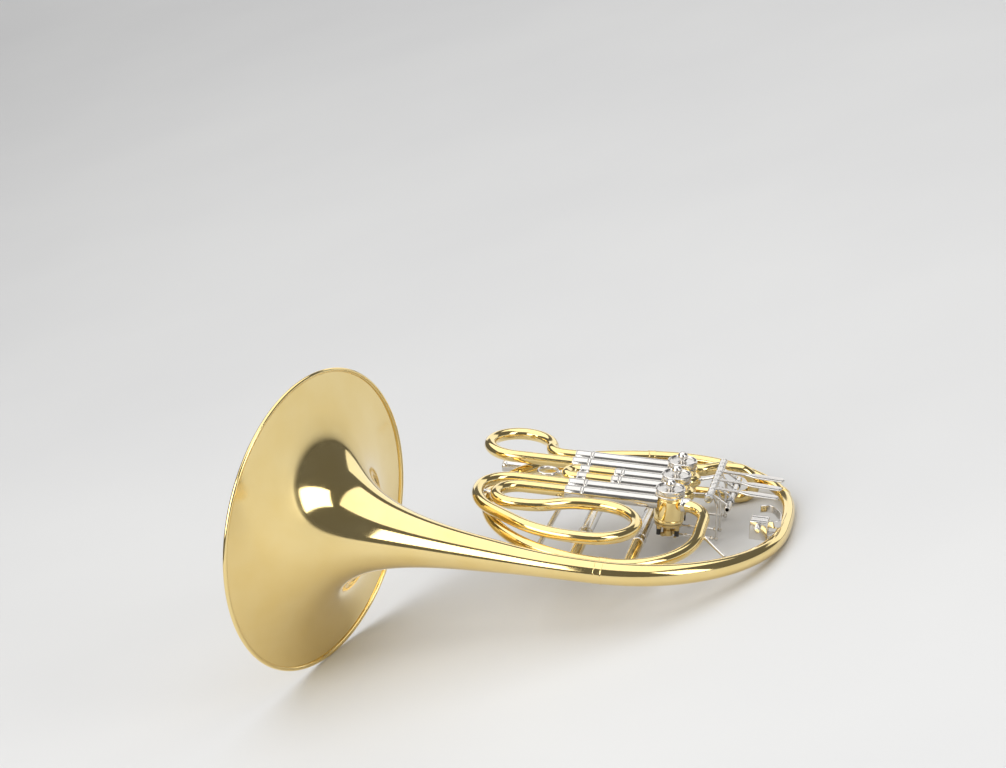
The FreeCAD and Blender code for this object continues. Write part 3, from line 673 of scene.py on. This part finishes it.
def make_slide_tubes(number):
    mouth, ferrule_end = SLIDES[number]
    sleeves, legs = Shape(), Shape()
    for y in leg_ys(number):
        port = V((-SLEEVE_END, y, PORT_Z))
        sleeve(sleeves, port, V((-mouth, y, PORT_Z)))
        port_plug(sleeves, port, V((-1, 0, 0)), SLEEVE_BORE)
        leg(legs, V((-mouth - FERRULE_GAP, y, PORT_Z)), V((-LEG_END, y, PORT_Z)),
            V((-ferrule_end, y, PORT_Z)))
    piece(f"slide_{number}_sleeves", sleeves, NICKEL, "horn", f"slide_{number}_outer_tubes")
    piece(f"slide_{number}_inner_legs", legs, NICKEL, f"slide_{number}", f"slide_{number}_legs")


def crook_1_stations():
    """A keyhole: from the near leg round a loop and back into the far leg."""
    far_y, near_y = leg_ys(1)
    start = -SLIDES[1][1] + 0.5
    loop_r, entry_r = 33.0, 16.0
    centre = V((-175.0, near_y + loop_r, PORT_Z))
    entry_y = far_y + entry_r
    entry_x = centre.x + math.sqrt((loop_r + entry_r) ** 2 - (centre.y - entry_y) ** 2)
    entry = V((entry_x, entry_y, PORT_Z))
    across = math.atan2(entry_y - centre.y, entry_x - centre.x)
    stations = [(V((start, near_y, PORT_Z)), V((-1, 0, 0)))]
    for k in range(81):
        angle = math.radians(270) + (across - math.radians(270)) * k / 80
        away = V((math.cos(angle), math.sin(angle), 0))
        stations.append((centre + away * loop_r, V((away.y, -away.x, 0))))
    for k in range(31):
        angle = across - math.pi + (math.radians(-90) - across + math.pi) * k / 30
        away = V((math.cos(angle), math.sin(angle), 0))
        stations.append((entry + away * entry_r, V((-away.y, away.x, 0))))
    stations.append((V((start, far_y, PORT_Z)), V((1, 0, 0))))
    return spaced(stations)


def crook_3_route():
    """A long loop: left and round a small bow, right to a wide one, and back left outside both."""
    far_y, near_y = leg_ys(3)
    start = -SLIDES[3][1] + 0.5
    inner_bow, right_bow = 24.0, 44.0
    back_y, upper_y = near_y - 2 * inner_bow, -76.0
    lower_y, right_x = upper_y - 2 * right_bow, -22.0
    points = flat([(start, near_y), (CROOK_INNER_X, near_y), (CROOK_INNER_X, back_y), (-128, back_y),
                   (-92, upper_y), (right_x, upper_y), (right_x, lower_y), (-112, lower_y),
                   (CROOK_OUTER_X, -100), (CROOK_OUTER_X, far_y), (start, far_y)])
    radii = [inner_bow * FULL] * 2 + [55, 55] + [right_bow - 0.1] * 2 + [100, 70, 33.5]
    return route(points, radii)


def make_crooks():
    """The loops of slides 1 and 3, and slide 2's short bow with its ferrules."""
    for number, stations in ((1, crook_1_stations()), (3, crook_3_route())):
        piece(f"slide_{number}_loop", pipe(Shape(), stations, TUBE_R, TUBE_BORE), BRASS,
              f"slide_{number}", f"slide_{number}_crook")
    far_y, near_y = leg_ys(2)
    straight_end, ferrule_end = 92.0, 102.0
    apex = -ferrule_end - 2.0 - PORT
    crook, ferrules = Shape(), Shape()
    for y in (far_y, near_y):
        pipe(crook, straight(V((-SLIDES[2][1] + 0.5, y, PORT_Z)), V((-straight_end - 1, y, PORT_Z))),
             TUBE_R, TUBE_BORE)
        length = ferrule_end - straight_end
        profile = [(TUBE_R - 0.2, 0), (FERRULE_R, 0), (FERRULE_R, 1.2), (FERRULE_R - 0.3, 1.6),
                   (FERRULE_R - 0.3, length - 1.6), (FERRULE_R, length - 1.2), (FERRULE_R, length),
                   (TUBE_R - 0.2, length)]
        lathe(ferrules, profile, V((-straight_end, y, PORT_Z)), V((-1, 0, 0)), soft=0.25)
    bow = flat([(-ferrule_end + 1, far_y), (apex, far_y), (apex, near_y), (-ferrule_end + 1, near_y)])
    pipe(crook, route(bow, [PORT * FULL] * 2), TUBE_R, TUBE_BORE)
    piece("slide_2_bow", crook, BRASS, "slide_2", "slide_2_crook")
    piece("slide_2_bands", ferrules, NICKEL, "slide_2", "slide_2_ferrules")
    make_pull_ring(apex)
    make_crook_brace()


def make_pull_ring(apex):
    ring_r, wire_r, stem_length = 10.3, 1.5, 4.0
    centre = V((apex - TUBE_R - stem_length - ring_r, 0, PORT_Z))
    pull = lathe(Shape(), wire_section(ring_r, wire_r, 18), centre, V((0, 0, 1)), 64, soft=0)
    stem = [(0, 0), (3.0, 0), (2.6, 0.9), (1.7, 2.2), (1.7, 3.6), (2.3, 4.6), (0, 5.4)]
    lathe(pull, stem, V((apex - TUBE_R + 0.5, 0, PORT_Z)), V((-1, 0, 0)), 32, soft=0.3, closed=False)
    piece("slide_2_ring", pull, NICKEL, "slide_2", "slide_2_pull_ring")


def stay(shape, start, end, radius, foot):
    """A rod whose ends spread into small round feet."""
    length = (end - start).length
    profile = [(0, 0), (foot, 0), (foot, 0.7), (radius * 1.3, 1.9), (radius, 4), (radius, length - 4),
               (radius * 1.3, length - 1.9), (foot, length - 0.7), (foot, length), (0, length)]
    return lathe(shape, profile, start, end - start, 36, soft=0.4, closed=False)


def make_crook_brace():
    sunk = TUBE_R - 0.6
    start, end = flat([(CROOK_OUTER_X + sunk, -74), (CROOK_INNER_X - sunk, -74)])
    brace = stay(Shape(), start, end, 1.8, 2.6)
    piece("slide_3_stay", brace, NICKEL, "slide_3", "slide_3_brace")


# ---- valves --------------------------------------------------------------------------------------
def casing_profile():
    """The wall with its grooves, open above, and the floor that the rotor's stem passes through."""
    hollow, stem_hole, skirt = 13.94, 3.54, 12.5
    floor_low, floor_high = -3, 2
    groove, lip, bead = CASING_R - 0.45, CASING_R - 0.8, CASING_R - 0.05
    foot = [(skirt, floor_low), (skirt, CASING_BOTTOM), (skirt + 0.7, CASING_BOTTOM),
            (CASING_R - 1.2, CASING_BOTTOM + 0.4), (CASING_R - 0.3, CASING_BOTTOM + 1.6)]
    side = [(CASING_R, -6.6), (CASING_R, -5.2), (groove, -4.6), (groove, -4.0), (CASING_R, -3.4),
            (CASING_R, CASING_TOP - 6.4), (groove, CASING_TOP - 5.8), (groove, CASING_TOP - 5.2),
            (bead, CASING_TOP - 4.7), (bead, CASING_TOP - 4.1)]
    mouth = [(lip, CASING_TOP - 3.9), (lip, CASING_TOP), (hollow, CASING_TOP)]
    floor = [(hollow, floor_high), (stem_hole, floor_high), (stem_hole, floor_low)]
    return foot + side + mouth + floor


def cap_profile():
    """A skirt over the casing's lip, a knurled waist, a dished top and the neck of the ball."""
    rim, inside, waist, neck = CAP_R - 1.2, CASING_R - 0.72, CAP_R - 0.5, 2.6
    under = CASING_TOP + 1.0
    skirt = [(0, under), (rim, under), (rim, CASING_TOP), (inside, CASING_TOP),
             (inside, CASING_TOP - 3.8), (waist, CASING_TOP - 3.8)]
    side = [(CAP_R, CASING_TOP - 3.2), (CAP_R, CASING_TOP - 2.0), (waist, CASING_TOP - 1.5),
            (waist, CAP_TOP - 3.0), (CAP_R, CAP_TOP - 2.5), (CAP_R, CAP_TOP - 0.8),
            (CAP_R - 0.8, CAP_TOP)]
    dish = [(rim - 0.4, CAP_TOP), (rim - 1.2, CAP_TOP - 1.4), (rim - 2.0, CAP_TOP - 1.8),
            (5.0, CAP_TOP - 1.8), (3.6, CAP_TOP - 1.3), (neck, CAP_TOP - 0.4),
            (neck, CAP_BALL_Z - 3.6), (0, CAP_BALL_Z - 3.4)]
    return skirt + side + dish


def make_valve(number):
    base, up = V((0, VALVE_Y[number], 0)), V((0, 0, 1))
    casing = lathe(Shape(), casing_profile(), base, up, 96, soft=0.2)
    piece(f"casing_{number}", casing, BRASS, "horn", f"valve_{number}_casing")
    lid = lathe(Shape(), cap_profile(), base, up, 120, soft=0.25, closed=False,
                knurl=(CASING_TOP - 1.6, CAP_TOP - 2.9, 0.28))
    ball(lid, base + up * CAP_BALL_Z, CAP_BALL_R, 48)
    piece(f"cap_{number}", lid, NICKEL, "horn", f"valve_cap_{number}", crease=40)


def make_knuckles():
    bends = Shape()
    for upper, lower in ((1, 2), (2, 3)):
        y_1, y_2 = VALVE_Y[upper] - PORT, VALVE_Y[lower] + PORT
        apex = 7.0 + PORT
        bend = flat([(TUBE_END, y_1), (apex, y_1), (apex, y_2), (TUBE_END, y_2)])
        pipe(bends, route(bend, [PORT * FULL] * 2), TUBE_R, TUBE_BORE)
    piece("knuckles", bends, BRASS, "horn", "knuckle_tubes")


# ---- keys ----------------------------------------------------------------------------------------
def hinge(y):
    return V((HINGE_X, y, HINGE_Z))


def rod_y(number):
    return VALVE_Y[number] + ROD_SIDE[number] * ROD_OFFSET


def barrel(shape, low, high, sides=40):
    """A hinge tube along Y with a fine ridge at each end."""
    length = high - low
    profile = [(1.56, 0), (BARREL_R - 0.25, 0), (BARREL_R, 0.3), (BARREL_R, 1.1), (BARREL_R - 0.35, 1.5),
               (BARREL_R - 0.35, length - 1.5), (BARREL_R, length - 1.1), (BARREL_R, length - 0.3),
               (BARREL_R - 0.25, length), (1.56, length)]
    return lathe(shape, profile, hinge(low), V((0, 1, 0)), sides, soft=0.2)


def blade_half_width(x):
    """Half the finger plate's width, x mm from the hinge."""
    wide = BLADE_NECK + (BLADE_PAD - BLADE_NECK) * smooth((x - 26) / 14)
    tip = math.sqrt(max(0.0, 1 - (max(x - BLADE_ROUND, 0) / BLADE_TIP) ** 2))
    return max(wide * tip, 0.05)


def finger_plate(shape, y):
    """The plate that the finger presses, flat along its length and rounded at its tip."""
    tilt = math.radians(2.5)
    along = V((math.cos(tilt), 0, -math.sin(tilt)))
    run = BLADE_ROUND - BLADE_START
    xs = [BLADE_START + run * i / 30 for i in range(31)]
    xs += [BLADE_ROUND + (BLADE_TIP - 0.01) * math.sin(math.pi / 2 * i / 10) for i in range(1, 11)]
    middle = hinge(y) + V((0, 0, 0.42))
    widths = [blade_half_width(x) for x in xs]
    strip(shape, [(middle + along * x, along) for x in xs],
          lambda i: stadium(widths[i], min(1.0, 0.25 + widths[i]), 32), V((0, 1, 0)))


def make_key(number):
    """Finger plate, barrel and drop arm in one piece."""
    y, arm_y = KEY_Y[number], rod_y(number)
    key = Shape()
    barrel(key, y - 7, y + 7)
    finger_plate(key, y)
    root = V((HINGE_X, y + max(-5.0, min(5.0, arm_y - y)), HINGE_Z - BARREL_R + 0.5))
    points = [root, V((HINGE_X + 6.5, arm_y, 10)), V((ARM_X, arm_y, ROD_Z))]
    arm = route(points, [14])
    strip(key, arm, lambda i: stadium(1.2, 2.6, 24, 0.8), V((1, 0, 0)))
    ball(key, points[-1], BALL_R, 36)
    piece(f"key_{number}_lever", key, NICKEL, f"key_{number}", f"key_{number}")


def make_link_rod(number):
    """Runs from a cup on the drop arm's ball to an eye round the stop arm's pin."""
    y = rod_y(number)
    pin_x = STOP_ARM_R * math.sin(math.radians(45))
    link = Shape()
    eye = [(EYE_BORE, -1.2), (EYE_R, -1.2), (EYE_R, 1.2), (EYE_BORE, 1.2)]
    lathe(link, eye, V((pin_x, y, ROD_Z)), V((0, 0, 1)), 40, soft=0.3)
    start = pin_x + EYE_R - 0.6
    length = ARM_X - 2.8 - start
    profile = [(0, 0), (ROD_R, 0.2), (ROD_R, 6), (2.1, 6.5), (2.1, 9.5), (ROD_R, 10),
               (ROD_R, length - 3.6), (2.0, length - 2.9), (2.4, length - 1.4), (2.4, length - 0.3),
               (1.6, length), (0, length - 0.2)]
    lathe(link, profile, V((start, y, ROD_Z)), V((1, 0, 0)), 32, soft=0.2, closed=False)
    piece(f"link_{number}", link, NICKEL, f"link_rod_{number}", f"link_rod_{number}")


def make_key_frame():
    middles = (36.45, 12.15, -12.2, -36.6)
    stand = Shape()
    for y in middles:
        barrel(stand, y - 4.8, y + 4.8)
        web = straight(hinge(y) + V((2.5, 0, -2.5)), V((BAR_X - 1.5, y, BAR_Z + 1.5)))
        strip(stand, web, lambda i: stadium(1.45, 1.45, 20, 0.8), V((0, 1, 0)))
    bar = [(2.0, 0), (BAR_R - 0.3, 0), (BAR_R, 0.3), (BAR_R, BAR_LENGTH - 0.3),
           (BAR_R - 0.3, BAR_LENGTH), (2.0, BAR_LENGTH)]
    lathe(stand, bar, V((BAR_X, -46, BAR_Z)), V((0, 1, 0)), 40, soft=0.15)
    piece("key_stand", stand, NICKEL, "horn", "key_frame")
    make_hinge_rod()
    braces = Shape()
    for start_y, end_y in ((PITCH / 2 - 7, 12.15), (-PITCH / 2 - 7, -36.6)):
        stay(braces, V((21.9, start_y, PORT_Z + 3.9)), hinge(end_y) + V((-3.3, 0, -2.2)), 1.35, 1.5)
    piece("stand_braces", braces, NICKEL, "horn", "key_braces")


def make_hinge_rod():
    """The screw that the keys turn on, and the collars at its ends."""
    collars = Shape()
    barrel(collars, 41.4, 52)
    barrel(collars, -48.5, -41.6)
    piece("hinge_end_collars", collars, NICKEL, "horn", "hinge_collars")
    screw = [(0, 0), (3.9, 0.2), (4.6, 1.0), (4.6, 6.0), (3.6, 6.9), (1.5, 7.0), (1.5, 108.5),
             (1.0, 109), (0, 109)]
    rod = lathe(Shape(), screw, hinge(-56), V((0, 1, 0)), 72, soft=0.2, closed=False,
                knurl=(1.2, 5.8, 0.35))
    piece("hinge_screw", rod, STEEL, "horn", "hinge_rod", crease=40)


def make_key_springs():
    """A coil on the frame's bar under each key, with one leg up to the hinge."""
    springs = Shape()
    turns, coil_r, pitch, wire = 5, 3.9, 1.15, 0.5
    for y in KEY_Y.values():
        path = []
        start = V((BAR_X, y - turns * pitch / 2, BAR_Z))
        for k in range(turns * 24 + 1):
            angle = 2 * math.pi * k / 24 + math.radians(150)
            spot = start + V((coil_r * math.cos(angle), pitch * k / 24, coil_r * math.sin(angle)))
            heading = V((-coil_r * math.sin(angle), pitch / (2 * math.pi), coil_r * math.cos(angle)))
            path.append((spot, heading.normalized()))
        pipe(springs, path, wire, sides=10)
        foot = path[0][0]
        tip = V((HINGE_X + 6.0, y - 2.1, HINGE_Z - 6.5))
        pipe(springs, straight(foot, tip), wire, sides=10)
    piece("spring_coils", springs, STEEL, "horn", "key_springs")


# ---- stays and finger hook -----------------------------------------------------------------------
def make_stays():
    """A short stay from the outlet tube to the ring, and a long one across, under the slides."""
    stays = Shape()
    stay(stays, V((47.6, -107.5, 5)), V((74.5, -142.5, 0.6)), 1.9, 3.0)
    stay(stays, V((-117, 64, -20)), V((-117, -172, -11)), 3.0, 3.0)
    piece("tube_stays", stays, NICKEL, "horn", "body_stays")


def hook_clamp():
    """Two jaws either side of the hook's slot, joined below it and above it."""
    low_x, high_x, half_y, low_z, high_z = 88, 106, 9, -1, 19
    inset, slot_y, slot_z = 0.6, 1.1, 4.35
    jaws = block(Shape(), (low_x, HOOK_Y + slot_y, low_z), (high_x, HOOK_Y + half_y, high_z), 1.0)
    block(jaws, (low_x, HOOK_Y - half_y, low_z), (high_x, HOOK_Y - slot_y, high_z), 1.0)
    for bottom, top in ((low_z + 0.3, HOOK_Z - slot_z), (HOOK_Z + slot_z, high_z - 0.2)):
        block(jaws, (low_x + inset, HOOK_Y - half_y + inset, bottom),
              (high_x - inset, HOOK_Y + half_y - inset, top), 0.5)
    return jaws


def make_finger_hook():
    line = [V((91, HOOK_Y, HOOK_Z)), V((118, HOOK_Y, HOOK_Z)), V((116, -52, HOOK_Z)),
            V((104.5, -29.5, HOOK_Z)), V((93, -35.5, HOOK_Z))]
    stations = route(line, [7, 28, 8])
    hook = strip(Shape(), stations, lambda i: stadium(0.8, 4.0, 32, 0.4), V((0, 1, 0)))
    piece("hook_strip", hook, NICKEL, "finger_hook", "finger_hook")
    piece("hook_clamp", hook_clamp(), NICKEL, "horn", "hook_block")
    end = V((97, HOOK_Y - 1.3, HOOK_Z))
    screw = [(0, 0), (2.0, 0), (2.0, 8.4), (2.6, 8.8), (3.2, 9.2), (3.2, 19.0), (2.6, 20), (0, 20)]
    turned = lathe(Shape(), screw, end, V((0, -1, 0)), 60, soft=0.2, closed=False, knurl=(9.6, 18.6, 0.3))
    piece("hook_thumbscrew", turned, NICKEL, "hook_screw", "hook_screw", crease=40)


# ---- light, floor and camera ---------------------------------------------------------------------
# The camera's angles and place are in the horn's frame.
CAMERA_AZIMUTH = math.radians(10.8)
CAMERA_ELEVATION = math.radians(20.6)
CAMERA_ROLL = math.radians(2.5)
CAMERA_EYE = V((465.1, -3413.7, 1411.0))
FOCAL_MM, SENSOR_MM = 128.83, 36.0


def make_camera():
    """Stands where the photographer did: the angles are about the ring's plane."""
    a, e, roll = CAMERA_AZIMUTH, CAMERA_ELEVATION, CAMERA_ROLL
    forward = V((-math.sin(a) * math.cos(e), math.cos(a) * math.cos(e), -math.sin(e)))
    level = V((math.cos(a), math.sin(a), 0))
    upright = level.cross(forward)
    right = level * math.cos(roll) + upright * math.sin(roll)
    up = upright * math.cos(roll) - level * math.sin(roll)
    turn = LAY.to_3x3() * (1 / MM)
    axes = Matrix([turn @ right, turn @ up, turn @ -forward]).transposed().to_4x4()
    data = bpy.data.cameras.new("camera")
    data.lens, data.sensor_width = FOCAL_MM, SENSOR_MM
    data.clip_end = 100
    camera = bpy.data.objects.new("camera", data)
    bpy.context.scene.collection.objects.link(camera)
    camera.matrix_world = Matrix.Translation(LAY @ CAMERA_EYE) @ axes
    bpy.context.scene.camera = camera


def softbox(name, spot, target, size, power, colour):
    """A rectangular light at spot that faces target, with its size in metres and power in watts."""
    data = bpy.data.lights.new(name, "AREA")
    data.shape, data.size, data.size_y = "RECTANGLE", size[0], size[1]
    data.energy, data.color = power, colour
    light = bpy.data.objects.new(name, data)
    bpy.context.scene.collection.objects.link(light)
    light.location = spot
    light.rotation_euler = (V(target) - V(spot)).to_track_quat("-Z", "Y").to_euler()


def make_lights():
    middle = (0, 0, 0.1)
    softbox("key_light", (-1.6, -2.6, 1.9), middle, (3.2, 2.2), 74, (1.0, 0.99, 0.97))
    softbox("top_light", (0.0, 0.8, 3.2), (0, 0.8, 0), (5.5, 5.5), 128, (1.0, 1.0, 1.0))
    softbox("side_light", (2.3, -1.2, 1.0), middle, (1.2, 1.6), 20, (0.98, 0.99, 1.0))
    softbox("back_light", (0.45, 5.0, 1.29), (0, 0, 0.3), (7.6, 2.1), 50.5, (1.0, 1.0, 1.0))
    world = bpy.data.worlds.new("studio")
    bpy.context.scene.world = world
    world.use_nodes = True
    sky = world.node_tree.nodes["Background"]
    sky.inputs["Color"].default_value = (0.72, 0.72, 0.73, 1)
    sky.inputs["Strength"].default_value = 0.2
    bpy.context.scene.view_settings.view_transform = "Standard"


def make_floor():
    n = Nodes("studio_floor")
    cloud = n.noise(1.5, 3)
    pale = n.ramp(cloud, (NOISE_LOW, (0.70, 0.70, 0.70)), (NOISE_HIGH, (0.74, 0.74, 0.735)))
    n.join(pale, n.shader.inputs["Base Color"])
    grain = n.noise(300, 3)
    n.join(n.range(grain, 0.65, 0.8), n.shader.inputs["Roughness"])
    n.set(Specular_IOR_Level=0.2)
    mesh = bpy.data.meshes.new("floor")
    reach = 20.0
    corners = [(-reach, -reach, 0), (reach, -reach, 0), (reach, reach, 0), (-reach, reach, 0)]
    mesh.from_pydata(corners, [], [(0, 1, 2, 3)])
    mesh.materials.append(n.material)
    floor = bpy.data.objects.new("floor", mesh)
    bpy.context.scene.collection.objects.link(floor)


def build():
    paint_carried_over()
    make_body()
    make_outlet()
    make_leadpipe()
    make_inlet()
    make_tuning_slide()
    for number in SLIDES:
        make_slide_tubes(number)
        make_valve(number)
        make_key(number)
        make_link_rod(number)
    make_crooks()
    make_knuckles()
    make_key_frame()
    make_key_springs()
    make_stays()
    make_finger_hook()
    make_floor()
    make_lights()
    make_camera()


build()
